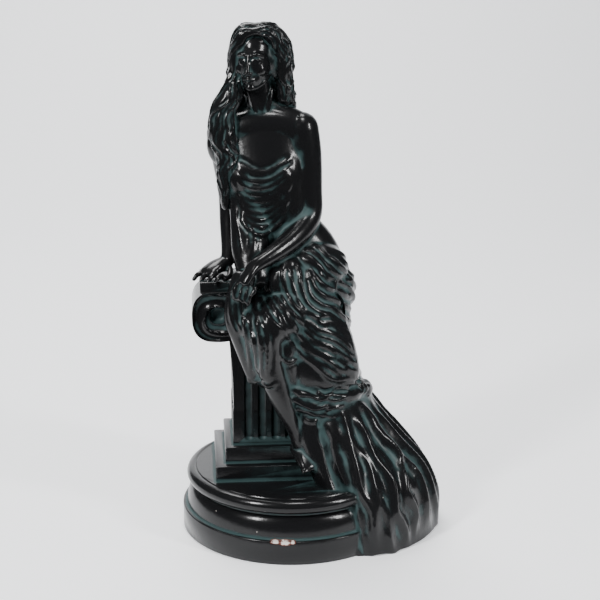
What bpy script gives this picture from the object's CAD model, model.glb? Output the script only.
"""Studio view of a cast plaster statue: a draped woman leans on a scroll-topped pedestal on a round base.

The statue is one casting, so it is one finished object. The base and the pedestal are modelled crisp.
The body and the head are built soft, as clay masses melted together, and then carved with folds, features
and locks. All of them are joined, and hollows are measured on the result, so that the patina can settle
in them.
"""

import logging
import math
from collections.abc import Iterator, Sequence
from dataclasses import dataclass, field
from enum import Enum

import bmesh
import bpy
import numpy as np
from mathutils import Matrix, Vector
from mathutils.bvhtree import BVHTree
from mathutils.kdtree import KDTree


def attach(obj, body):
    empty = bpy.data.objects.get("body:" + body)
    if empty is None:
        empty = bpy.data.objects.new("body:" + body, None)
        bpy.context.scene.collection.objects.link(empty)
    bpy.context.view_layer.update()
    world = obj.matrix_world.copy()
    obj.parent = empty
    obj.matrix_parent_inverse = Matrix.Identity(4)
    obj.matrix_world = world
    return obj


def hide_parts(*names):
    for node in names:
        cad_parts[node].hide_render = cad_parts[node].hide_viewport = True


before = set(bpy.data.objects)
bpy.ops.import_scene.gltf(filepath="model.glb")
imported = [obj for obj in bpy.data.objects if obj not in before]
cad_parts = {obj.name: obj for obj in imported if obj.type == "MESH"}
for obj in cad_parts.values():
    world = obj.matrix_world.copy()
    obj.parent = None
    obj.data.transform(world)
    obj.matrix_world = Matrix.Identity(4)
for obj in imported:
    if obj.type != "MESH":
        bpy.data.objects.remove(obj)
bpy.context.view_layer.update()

log = logging.getLogger("statue")

Key = tuple[float, ...]
Guide = list[tuple[float, float]]

# Base, from the ground up, in metres
BASE_RADIUS = 0.1243
DRUM_HEIGHT = 0.027
OVOLO_SETBACK = 0.005
OVOLO_HEIGHT = 0.024
OVOLO_DEPTH = 0.010
COLLAR_HEIGHT = 0.003
RIM_HEIGHT = 0.016
RIM_SETBACK = 0.005
BASE_HEIGHT = DRUM_HEIGHT + OVOLO_HEIGHT + COLLAR_HEIGHT + RIM_HEIGHT

# Pedestal, in metres
PEDESTAL_X = -0.0275
PEDESTAL_Y = 0.003
PEDESTAL_TURN = math.radians(4.5)
LOWER_STEP_WIDTH = 0.120
LOWER_STEP_HEIGHT = 0.017
STEP_LEDGE = 0.011
UPPER_STEP_HEIGHT = 0.018
SHAFT_WIDTH = 0.080
SHAFT_HEIGHT = 0.132
SHAFT_FLARE = 0.009
SCROLL_RADIUS = 0.0285
SCROLL_SPACING = 0.109
SCROLL_DEPTH = 0.066
SCROLL_Y = -0.013
SLAB_WIDTH = 0.148
SLAB_HEIGHT = 0.012
SHAFT_FOOT_Z = BASE_HEIGHT + LOWER_STEP_HEIGHT + UPPER_STEP_HEIGHT
SCROLL_Z = SHAFT_FOOT_Z + SHAFT_HEIGHT + 0.62 * SCROLL_RADIUS
SLAB_TOP_Z = SCROLL_Z + SCROLL_RADIUS + SLAB_HEIGHT - 0.002

# Figure: its places and girths are in this unit, measured from the middle of the base's top
FIGURE_UNIT = 0.500 / 500
HAND_REST = (SLAB_TOP_Z - BASE_HEIGHT) / FIGURE_UNIT
FACE_TURN = -17.0
TRIANGLE_LIMIT = 190_000

# Carving, in figure units
GUIDE_DIP = 15.0
GUIDE_PLANE = 60
SIGHT_START = 400
POLE_REACH = 90
LOCK_LIFT = 4.4
TRAIN_LIFT = 9.0
FOLD_LIFT = 5.2
FINE_LIFT = 1.6

# Hollows: rounds of blurring, and the depth in metres that counts as full
HOLLOW_SIZES = ((4, 0.00028), (16, 0.0008), (50, 0.0018))
LONGEST_EDGE = 0.006

# Chips on the drum's front edge: middle along X and Z, half width and half height, in metres
CHIPS = (
    (-0.0165, 0.0262, 0.0050, 0.0018),
    (-0.0065, 0.0256, 0.0062, 0.0026),
    (0.0020, 0.0260, 0.0030, 0.0016),
)


class Side(Enum):
    """The side that a carved stroke is seen from, in degrees round from the front."""

    FRONT = 0
    FACE = -17
    RIGHT = 90
    BACK = 180
    LEFT = -90


def select_only(thing: bpy.types.Object) -> None:
    """Makes one object the only selected and active one.

    Args:
        thing: The object.
    """
    bpy.ops.object.select_all(action="DESELECT")
    thing.select_set(True)
    bpy.context.view_layer.objects.active = thing


def apply_boolean(
    thing: bpy.types.Object, other: bpy.types.Object, operation: str, solver: str = "EXACT",
) -> None:
    """Joins or cuts an object with another one, which is then removed.

    Args:
        thing: The object that is kept.
        other: The object that is added or taken away.
        operation: UNION or DIFFERENCE.
        solver: EXACT or MANIFOLD.
    """
    select_only(thing)
    step = thing.modifiers.new("join", "BOOLEAN")
    step.object = other
    step.operation = operation
    step.solver = solver
    bpy.ops.object.modifier_apply(modifier=step.name)
    bpy.data.objects.remove(other)


def add_object(name: str, shape: bmesh.types.BMesh) -> bpy.types.Object:
    """Turns a shape into an object of the scene.

    Args:
        name: Its name.
        shape: The shape, which is freed.

    Returns:
        The object.
    """
    mesh = bpy.data.meshes.new(name)
    shape.to_mesh(mesh)
    shape.free()
    thing = bpy.data.objects.new(name, mesh)
    bpy.context.scene.collection.objects.link(thing)
    return thing


def join_loops(shape: bmesh.types.BMesh, loops: Sequence[Sequence[bmesh.types.BMVert]]) -> None:
    """Adds a skin of quads over closed loops of equally many vertices.

    Args:
        shape: The shape that gets the skin.
        loops: The loops, in order.
    """
    count = len(loops[0])
    for low, high in zip(loops, loops[1:]):
        for i in range(count):
            j = (i + 1) % count
            shape.faces.new((low[i], low[j], high[j], high[i]))


def read_rows(items: "bpy.types.bpy_prop_collection", key: str, width: int, kind: type = float) -> np.ndarray:
    """Reads one property of all vertices or edges.

    Args:
        items: The vertices or edges.
        key: Name of the property.
        width: Numbers in each row.
        kind: Kind of number.

    Returns:
        One row for each item.
    """
    rows = np.empty(len(items) * width, kind)
    items.foreach_get(key, rows)
    return rows.reshape(-1, width)


def sum_around(values: np.ndarray, edges: np.ndarray) -> np.ndarray:
    """Adds up the values of each vertex's neighbours.

    Args:
        values: One value for each vertex.
        edges: The two ends of each edge, as two rows.

    Returns:
        One sum for each vertex.
    """
    a, b = edges
    count = len(values)
    return np.bincount(a, values[b], minlength=count) + np.bincount(b, values[a], minlength=count)


def count_around(edges: np.ndarray, count: int) -> np.ndarray:
    """Counts each vertex's neighbours, as one at least."""
    a, b = edges
    return np.maximum(np.bincount(a, minlength=count) + np.bincount(b, minlength=count), 1)


def smooth_rows(keys: Sequence[Key], steps: int) -> np.ndarray:
    """Blends rows of numbers by a Catmull-Rom curve.

    Args:
        keys: The rows that the curve passes through.
        steps: Rows made for each gap.

    Returns:
        The blended rows, the last key included.
    """
    rows = np.array(keys, float)
    rows = np.vstack([2 * rows[0] - rows[1], rows, 2 * rows[-1] - rows[-2]])
    out = []
    for a, b, c, d in zip(rows, rows[1:], rows[2:], rows[3:]):
        for t in np.arange(steps) / steps:
            curve = 2 * b + (c - a) * t + (2 * a - 5 * b + 4 * c - d) * t**2
            out.append(0.5 * (curve + (3 * b - a - 3 * c + d) * t**3))
    return np.vstack([out, rows[-2]])


@dataclass
class Clay:
    """A heap of closed clay masses that overlap and are melted into one skin.

    Args:
        voxel: Grain of the melted skin, in figure units.
        smoothing: Rounds of smoothing after melting.
    """

    voxel: float
    smoothing: int
    heap: bmesh.types.BMesh = field(default_factory=bmesh.new)

    def bridge(self, rings: Sequence[Sequence[Vector]]) -> None:
        """Adds a skin over closed rings of equally many points, with both ends capped.

        Args:
            rings: The rings, in order.
        """
        loops = [[self.heap.verts.new(point) for point in ring] for ring in rings]
        join_loops(self.heap, loops)
        self.heap.faces.new(loops[0][::-1])
        self.heap.faces.new(loops[-1])

    def ball(self, centre: Key, radii: Key, tilt: float = 0.0, turn: float = 0.0) -> None:
        """Adds an egg of clay.

        Args:
            centre: Its middle.
            radii: Its three half lengths.
            tilt: Lean about X, in degrees.
            turn: Spin about Z, in degrees.
        """
        place = Matrix.Translation(centre) @ Matrix.Rotation(math.radians(turn), 4, "Z")
        place = place @ Matrix.Rotation(math.radians(tilt), 4, "X") @ Matrix.Diagonal((*radii, 1))
        bmesh.ops.create_icosphere(self.heap, subdivisions=4, radius=1, matrix=place)

    def roll(self, keys: Sequence[Key], across: Key = (1, 0, 0), sides: int = 24, steps: int = 6) -> None:
        """Adds a roll of clay with round ends.

        Args:
            keys: Rows of (x, y, z, half width) or (x, y, z, half width, half depth).
            across: Direction that the width runs in.
            sides: Points round the roll.
            steps: Sections between two keys.
        """
        rows = smooth_rows([key if len(key) == 5 else (*key, key[3]) for key in keys], steps)
        tangents = np.gradient(rows[:, :3], axis=0)
        tangents /= np.linalg.norm(tangents, axis=1)[:, None]
        caps = (84, 64, 42, 20)
        sections = []
        for angle in caps:
            a = math.radians(angle)
            offset = tangents[0] * -min(rows[0, 3:]) * math.sin(a)
            sections.append((rows[0, :3] + offset, tangents[0], rows[0, 3:] * math.cos(a)))
        sections += [(row[:3], t, row[3:]) for row, t in zip(rows, tangents)]
        for angle in caps[::-1]:
            a = math.radians(angle)
            offset = tangents[-1] * min(rows[-1, 3:]) * math.sin(a)
            sections.append((rows[-1, :3] + offset, tangents[-1], rows[-1, 3:] * math.cos(a)))
        angles = np.linspace(0, 2 * math.pi, sides, endpoint=False)
        rings = []
        for centre, t, (width, depth) in sections:
            side = np.array(across, float)
            side -= t * (side @ t)
            if np.linalg.norm(side) < 0.15:
                side = np.cross(t, (0.0, 0.0, 1.0))
            side /= np.linalg.norm(side)
            front = np.cross(t, side)
            rings.append([centre + side * width * math.cos(a) + front * depth * math.sin(a) for a in angles])
        self.bridge(rings)

    def bell(self, keys: Sequence[Key], sides: int = 96, steps: int = 6) -> None:
        """Adds a standing bell of cloth.

        Args:
            keys: Rows of (z, left, right, front, back, squareness).
            sides: Points round the bell.
            steps: Sections between two keys.
        """
        rings = []
        for z, left, right, front, back, square in smooth_rows(keys, steps):
            ring = []
            for a in np.linspace(0, 2 * math.pi, sides, endpoint=False):
                c, s = math.cos(a), math.sin(a)
                reach = 1 / (abs(c) ** square + abs(s) ** square) ** (1 / square)
                x = (left + right) / 2 + (right - left) / 2 * reach * c
                y = (front + back) / 2 + (back - front) / 2 * reach * s
                ring.append((x, y, z))
            rings.append(ring)
        self.bridge(rings)

    def melt(self, name: str) -> bpy.types.Object:
        """Melts the heap into one skin.

        Args:
            name: Name of the new object.

        Returns:
            The object, still in figure units.
        """
        bmesh.ops.recalc_face_normals(self.heap, faces=self.heap.faces)
        thing = add_object(name, self.heap)
        select_only(thing)
        melt = thing.modifiers.new("melt", "REMESH")
        melt.mode = "VOXEL"
        melt.voxel_size = self.voxel
        bpy.ops.object.modifier_apply(modifier=melt.name)
        soften = thing.modifiers.new("soften", "SMOOTH")
        soften.factor = 0.5
        soften.iterations = self.smoothing
        bpy.ops.object.modifier_apply(modifier=soften.name)
        return thing


@dataclass(frozen=True)
class Flow:
    """A run of carved strands between two guide curves.

    Args:
        side: The side that the guides are drawn from.
        guides: Two curves of (across, height) points.
        count: Strands between the guides.
        width: Half width of a ridge.
        height: Height of a ridge. A negative one is a groove.
        wave: Sideways sway of each strand.
        valley: Depth of the valleys beside a ridge, as a share of its height.
        stagger: How far the ends are drawn back, at most, as a share of the length.
        shift: Sideways shift of both guides.
        pole: If given, the guides hold (azimuth, elevation) in degrees round this point.
        period: Shortest length of one sway.
        dip: How far the view of the guides looks down, in degrees, from points on a plane before the axis.
        even: Keeps the full width where the strands crowd.
    """

    side: Side
    guides: tuple[Guide, Guide]
    count: int
    width: float
    height: float
    wave: float = 0.0
    valley: float = 0.5
    stagger: float = 0.12
    shift: float = 0.0
    pole: Key | None = None
    period: float = 50.0
    dip: float = 0.0
    even: bool = False

    def strands(self, dice: np.random.Generator) -> Iterator[np.ndarray]:
        """Lays the strands evenly between the guides, each shortened and swayed in its own way.

        Args:
            dice: Source of the variation.

        Yields:
            The (across, height, room) points of one strand. Room is the share of its width that fits there.
        """
        first, second = (smooth_rows(guide, 12) for guide in self.guides)
        grain = 1.0 if self.pole is None else 0.6
        length = grain * max(np.linalg.norm(np.diff(rows, axis=0), axis=1).sum() for rows in (first, second))
        number = max(8, int(length / (0.45 * self.width)))
        at = np.linspace(0, 1, number)
        first = np.stack([np.interp(at, np.linspace(0, 1, len(first)), first[:, k]) for k in (0, 1)], axis=1)
        second = np.stack(
            [np.interp(at, np.linspace(0, 1, len(second)), second[:, k]) for k in (0, 1)], axis=1,
        )
        gaps = grain * np.linalg.norm(first - second, axis=1) / self.count
        room = np.ones(number)
        if self.count > 1 and not self.even:
            room = np.clip(0.46 * gaps / self.width, 0.4, 1)
        phase, pace = dice.random(2)
        for i in range(self.count):
            share = (i + 0.5) / self.count
            curve = first * (1 - share) + second * share
            slope = np.gradient(curve, axis=0)
            slope /= np.maximum(np.linalg.norm(slope, axis=1), 1e-6)[:, None]
            drift = 0.09 * dice.standard_normal()
            sway = np.sin(2 * math.pi * (at * length / (self.period * (1 + 0.6 * pace)) + phase + drift))
            curve = curve + self.wave / grain * sway[:, None] * np.stack([-slope[:, 1], slope[:, 0]], axis=1)
            curve[:, 0] += self.shift
            low = int(dice.random() * self.stagger * number)
            high = number - int(dice.random() * self.stagger * number)
            yield np.column_stack((curve, room))[low:high]


class Carver:
    """Raises ridges and sinks grooves on a melted skin."""

    def __init__(self, thing: bpy.types.Object, seed: int) -> None:
        """Reads the skin.

        Args:
            thing: The melted object.
            seed: Start of the variation.
        """
        self.mesh = thing.data
        self.dice = np.random.default_rng(seed)
        self.read()

    def read(self) -> None:
        """Reads places and normals, and builds the search trees."""
        self.spots = read_rows(self.mesh.vertices, "co", 3)
        self.normals = read_rows(self.mesh.vertices, "normal", 3)
        faces = [tuple(face.vertices) for face in self.mesh.polygons]
        self.tree = BVHTree.FromPolygons(self.spots.tolist(), faces)
        self.near = KDTree(len(self.spots))
        for i, spot in enumerate(self.spots):
            self.near.insert(spot, i)
        self.near.balance()
        self.edges = read_rows(self.mesh.edges, "vertices", 2, int).T

    def spread(self, values: np.ndarray, rounds: int) -> np.ndarray:
        """Evens out values over neighbouring vertices.

        Args:
            values: One value for each vertex.
            rounds: How often it is done.

        Returns:
            The evened values.
        """
        degree = count_around(self.edges, len(values))
        for _ in range(rounds):
            values = 0.4 * values + 0.6 * sum_around(values, self.edges) / degree
        return values

    def snap(self, flow: Flow, across: float, height: float) -> tuple[Vector, Vector] | None:
        """Finds where a line of sight first meets the skin: one from a side, or one towards a pole.

        Args:
            flow: The flow that is laid.
            across: Distance to the right of the axis, or azimuth.
            height: Height, or elevation.

        Returns:
            The point and its normal, or None.
        """
        if flow.pole is not None:
            a, e = math.radians(across), math.radians(height)
            out = Vector((math.sin(a) * math.cos(e), -math.cos(a) * math.cos(e), math.sin(e)))
            point, normal, _, _ = self.tree.ray_cast(Vector(flow.pole) + out * POLE_REACH, -out, POLE_REACH)
            return None if point is None else (point, normal)
        a, e = math.radians(flow.side.value), math.radians(flow.dip)
        ahead = Vector((-math.sin(a), math.cos(a), 0))
        sight = ahead * math.cos(e) - Vector((0, 0, math.sin(e)))
        start = Vector((math.cos(a), math.sin(a), 0)) * across - ahead * GUIDE_PLANE - sight * SIGHT_START
        point, normal, _, _ = self.tree.ray_cast(start + Vector((0, 0, height)), sight, 2 * SIGHT_START)
        return None if point is None else (point, normal)

    def carve(self, flows: Sequence[Flow], limit: float, rounds: int) -> None:
        """Carves all strands of some flows and moves the skin.

        Args:
            flows: The flows, which add up where they cross.
            limit: Largest lift.
            rounds: Rounds of evening out.
        """
        lift = np.zeros(len(self.spots))
        for flow in flows:
            for curve in flow.strands(self.dice):
                self.add_strand(lift, flow, curve)
        lift = self.spread(np.clip(lift, -limit, limit), rounds)
        self.spots += self.normals * lift[:, None]
        self.mesh.vertices.foreach_set("co", self.spots.ravel())
        self.mesh.update()
        self.read()

    def add_strand(self, lift: np.ndarray, flow: Flow, curve: np.ndarray) -> None:
        """Adds one strand to the lift.

        Args:
            lift: Lift of each vertex so far.
            flow: The flow that the strand belongs to.
            curve: Its points.
        """
        width = flow.width * (0.85 + 0.3 * self.dice.random())
        height = flow.height * (0.75 + 0.5 * self.dice.random())
        closest: dict[int, tuple[float, float]] = {}
        number = len(curve)
        for k, (across, level, room) in enumerate(curve):
            hit = self.snap(flow, across, level)
            if hit is None:
                continue
            ends = min(1.0, (k + 0.5) / 7, (number - k) / 7) * room**0.6
            for _, i, distance in self.near.find_range(hit[0], 2.8 * width * room):
                away = distance / (width * room)
                if i not in closest or away < closest[i][0]:
                    if self.normals[i] @ hit[1] > 0.0:
                        closest[i] = (away, ends)
        if not closest:
            return
        index = np.fromiter(closest.keys(), int)
        values = np.array(list(closest.values()))
        d = values[:, 0]
        lift[index] += values[:, 1] * height * (np.exp(-(d**1.7)) - flow.valley * np.exp(-((d / 1.9) ** 2)))


@dataclass
class Head:
    """Head, hair and neck of the woman.

    Args:
        centre: Middle of the head, level with the eyes.
        half_width: Half width of the face at the cheekbones.
        turn: Turn of the face, in degrees.
    """

    centre: tuple[float, float, float] = (-37.0, -5.0, 455.0)
    half_width: float = 18.5
    turn: float = FACE_TURN

    def local(self, x: float, y: float, z: float) -> tuple[float, float, float]:
        """Turns a place in the head's own frame into the figure's frame.

        Args:
            x: To her left.
            y: Backwards.
            z: Upwards.

        Returns:
            The place.
        """
        a = math.radians(self.turn)
        cx, cy, cz = self.centre
        return (cx + x * math.cos(a) - y * math.sin(a), cy + x * math.sin(a) + y * math.cos(a), cz + z)

    def keys(self, *rows: Key) -> list[Key]:
        """Turns roll keys in the head's own frame into the figure's frame."""
        return [(*self.local(*row[:3]), *row[3:]) for row in rows]

    def face(self, clay: Clay) -> None:
        """Adds skull, jaw, brow, nose, lips, eyes and chin.

        Args:
            clay: The heap.
        """
        w = self.half_width
        clay.ball(self.local(0, 6, 8), (w * 1.12, 27, 27), turn=self.turn)
        clay.ball(self.local(0, -6, -3), (w * 0.98, 19.5, 25), turn=self.turn)
        clay.ball(self.local(0, -11.5, -17), (w * 0.66, 13.5, 12.5), turn=self.turn)
        clay.ball(self.local(0, -19, -27.5), (5.4, 4.8, 4.4), turn=self.turn)
        for s in (-1, 1):
            clay.ball(self.local(s * 9.2, -14.8, -8.5), (7.4, 7.6, 8.0), turn=self.turn)
            jaw = self.keys((s * 14.5, 0, -14, 3.4), (s * 11, -9, -22, 3.6), (s * 4, -16.5, -27.5, 3.4))
            clay.roll(jaw)
            clay.roll(
                self.keys((s * 3.2, -22.4, 5.6, 2.2), (s * 8, -21.9, 7.0, 2.6), (s * 13.2, -17.2, 5.2, 2.2))
            )
            clay.ball(self.local(s * 7.9, -19.3, 0.2), (4.7, 4.5, 4.1), turn=self.turn)
            clay.ball(self.local(s * 3.0, -26.0, -12.6), (2.1, 2.4, 1.9), turn=self.turn)
        nose = self.keys((0, -21.8, 6.0, 3.0), (0, -24.0, 0, 2.5), (0, -26.6, -6, 2.4), (0, -28.6, -11, 2.7))
        clay.roll(nose)
        clay.roll(
            self.keys(
                (-6.4, -22.8, -19.6, 0.9), (-2, -25.6, -18.4, 1.5), (2, -25.6, -18.4, 1.5),
                (6.4, -22.8, -19.6, 0.9),
            )
        )
        clay.roll(self.keys((-5.2, -22.8, -20.8, 0.9), (0, -25.4, -21.9, 1.9), (5.2, -22.8, -20.8, 0.9)))
        clay.ball(self.local(0, -24.8, -15.6), (2.6, 1.6, 3.4), turn=self.turn)

    def neck(self, clay: Clay) -> None:
        """Adds the neck with its two cords.

        Args:
            clay: The heap.
        """
        clay.roll([(-30, 7, 380, 17, 15), (-33, 4, 404, 13.2, 13), (-35, 0, 436, 13.5, 14)])
        clay.roll([(-27, -5.5, 390, 3.4), (-23, -4.0, 412, 3.6), (-19, 3, 436, 3)])
        clay.roll([(-33, -6, 390, 3.4), (-40, -5.5, 412, 3.6), (-47, -1, 436, 3)])

    def hair(self, clay: Clay) -> None:
        """Adds the hair's masses: crown, sides, the long fall and the back.

        Args:
            clay: The heap.
        """
        clay.ball((-32, 8, 460), (28, 28.5, 32), turn=self.turn)
        clay.roll(
            [(-39, -22, 485, 4), (-50, -19, 481, 7), (-57, -12, 463, 8), (-57, -9, 440, 8), (-59, -9, 418, 9)]
        )
        clay.roll(
            [(-39, -22, 485, 4), (-25, -20, 484, 7), (-11, -13, 469, 9), (-8, -6, 446, 9.5), (-6, 4, 416, 11)]
        )
        clay.roll([(-37, -10, 487, 7), (-50, -7, 485, 8), (-58, 2, 468, 8), (-60, 6, 440, 9)])
        clay.roll([(-37, -10, 487, 7), (-21, -7, 486, 8), (-8, 2, 470, 9), (-5, 8, 446, 9.5)])
        clay.roll(
            [
                (-57, -6, 445, 9),
                (-61, -9, 422, 12),
                (-71, -10, 402, 14, 13),
                (-73, -12, 382, 16, 13),
                (-68, -14, 352, 13, 12),
                (-71, -14, 324, 9, 10),
                (-70, -14, 300, 5),
            ]
        )
        clay.roll([(-13, 4, 450, 11.5), (-8, 8, 424, 12), (-5, 12, 406, 11), (-10, 24, 388, 13)])
        clay.roll(
            [(-32, 20, 450, 28, 16), (-32, 22, 405, 34, 15), (-34, 26, 360, 34, 13), (-30, 27, 318, 24, 8)]
        )

    def features(self) -> list[Flow]:
        """Lists the fine strokes of the face.

        Returns:
            The flows.
        """
        a = math.radians(self.turn)
        shift = self.centre[0] * math.cos(a) + self.centre[1] * math.sin(a)
        z = self.centre[2]
        flows = []
        for s in (-1, 1):
            socket = [(s * 4.2, z + 2.4), (s * 7.6, z + 3.8), (s * 12.2, z + 1.6)]
            upper_lid = [(s * 3.9, z - 0.8), (s * 6.4, z + 1.9), (s * 9.4, z + 1.9), (s * 12, z - 0.6)]
            lower_lid = [(s * 4.2, z - 1.4), (s * 7.8, z - 2.9), (s * 11.6, z - 1.2)]
            inner = [(s * 3.4, z + 3.4), (s * 3.5, z - 0.5)]
            nostril = [(s * 1.5, z - 14.0), (s * 2.4, z - 14.0)]
            corner = [(s * 6.6, z - 19.9), (s * 7.2, z - 20.2)]
            for points, width, height in (
                (socket, 1.5, -1.1),
                (upper_lid, 0.75, 0.75),
                (lower_lid, 0.7, 0.55),
                (inner, 1.8, -0.9),
                (nostril, 0.9, -1.0),
                (corner, 1.2, -0.8),
            ):
                flows.append(Flow(Side.FACE, (points, points), 1, width, height, 0, 0.0, 0.0, shift))
        mouth = [(-6.6, z - 19.9), (-3, z - 19.6), (0, z - 20.1), (3, z - 19.6), (6.6, z - 19.9)]
        flows.append(Flow(Side.FACE, (mouth, mouth), 1, 0.7, -1.3, 0, 0.0, 0.0, shift))
        groove = [(0, z - 15.0), (0, z - 17.2)]
        flows.append(Flow(Side.FACE, (groove, groove), 1, 1.0, -0.6, 0, 0.0, 0.0, shift))
        return flows

    def locks(self) -> tuple[list[Flow], list[Flow]]:
        """Lists the strokes of the hair: broad locks, and fine strands on them.

        Returns:
            The broad flows and the fine flows.
        """
        pole = (-33.0, 4.0, 462.0)
        fall_outer = [
            (-60, 448), (-62, 430), (-72, 410), (-88, 392), (-89, 372), (-80, 350), (-82, 330), (-74, 300),
        ]
        fall_inner = [
            (-50, 446), (-51, 428), (-55, 408), (-60, 388), (-58, 366), (-55, 350), (-62, 330), (-66, 300),
        ]
        right_inner = [(-18, 446), (-17, 432), (-13, 416), (-8, 402)]
        right_outer = [(8, 448), (8, 432), (13, 414), (14, 400)]
        back_left = [(-8, 440), (-8, 420), (-4, 390), (2, 345), (12, 312)]
        back_right = [(72, 440), (70, 420), (66, 390), (58, 345), (44, 312)]
        side_front = [(-12, 446), (-10, 426), (-4, 400)]
        side_back = [(38, 450), (38, 420), (38, 388)]
        left_back = [(-36, 450), (-36, 420), (-34, 390)]
        left_front = [(14, 450), (15, 424), (12, 398)]
        crown_right = [(-9, 50), (16, 47), (38, 30), (50, 5), (54, -25)]
        crown_right_back = [(-9, 86), (60, 70), (100, 42), (118, 0), (124, -35)]
        crown_left = [(-15, 50), (-42, 47), (-62, 30), (-74, 5), (-80, -25)]
        crown_left_back = [(-15, 86), (-80, 70), (-118, 42), (-136, 0), (-142, -35)]
        crown_back_right = [(90, 82), (122, 50), (128, 0), (130, -35)]
        crown_back_left = [(225, 82), (216, 50), (214, 0), (214, -35)]
        ring_right = [(-9, 48), (14, 44), (36, 31), (52, 8), (62, -22)]
        ring_right_in = [(-9, 33), (6, 29), (18, 23), (31, 12), (38, -2), (45, -24)]
        ring_left = [(-14, 48), (-36, 43), (-58, 30), (-72, 8), (-80, -22)]
        ring_left_in = [(-12, 33), (-24, 28), (-37, 19), (-47, 6), (-55, -8), (-60, -26)]
        groups = (
            (Side.FRONT, (ring_right, ring_right_in), 3, pole),
            (Side.FRONT, (ring_left, ring_left_in), 3, pole),
            (Side.FRONT, (fall_outer, fall_inner), 5, None),
            (Side.FRONT, (right_inner, right_outer), 5, None),
            (Side.BACK, (back_left, back_right), 11, None),
            (Side.RIGHT, (side_front, side_back), 7, None),
            (Side.LEFT, (left_back, left_front), 6, None),
            (Side.FRONT, (crown_right, crown_right_back), 10, pole),
            (Side.FRONT, (crown_left, crown_left_back), 10, pole),
            (Side.BACK, (crown_back_right, crown_back_left), 9, pole),
        )
        broad = [
            Flow(side, guides, count, 3.4, 3.8, 2.2, 0.6, 0.06, 0, at, 30)
            for side, guides, count, at in groups
        ]
        fine = [
            Flow(side, guides, count * 3, 1.2, 0.9, 1.8, 0.5, 0.25, 0, at, 30)
            for side, guides, count, at in groups
        ]
        return broad, fine

    def build(self) -> bpy.types.Object:
        """Models the head.

        Returns:
            The object, in figure units.
        """
        clay = Clay(0.8, 4)
        self.face(clay)
        self.neck(clay)
        self.hair(clay)
        thing = clay.melt("head")
        broad, fine = self.locks()
        carver = Carver(thing, 5)
        carver.carve(broad, LOCK_LIFT, 1)
        carver.carve([*fine, *self.features()], FINE_LIFT, 1)
        return thing


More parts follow.
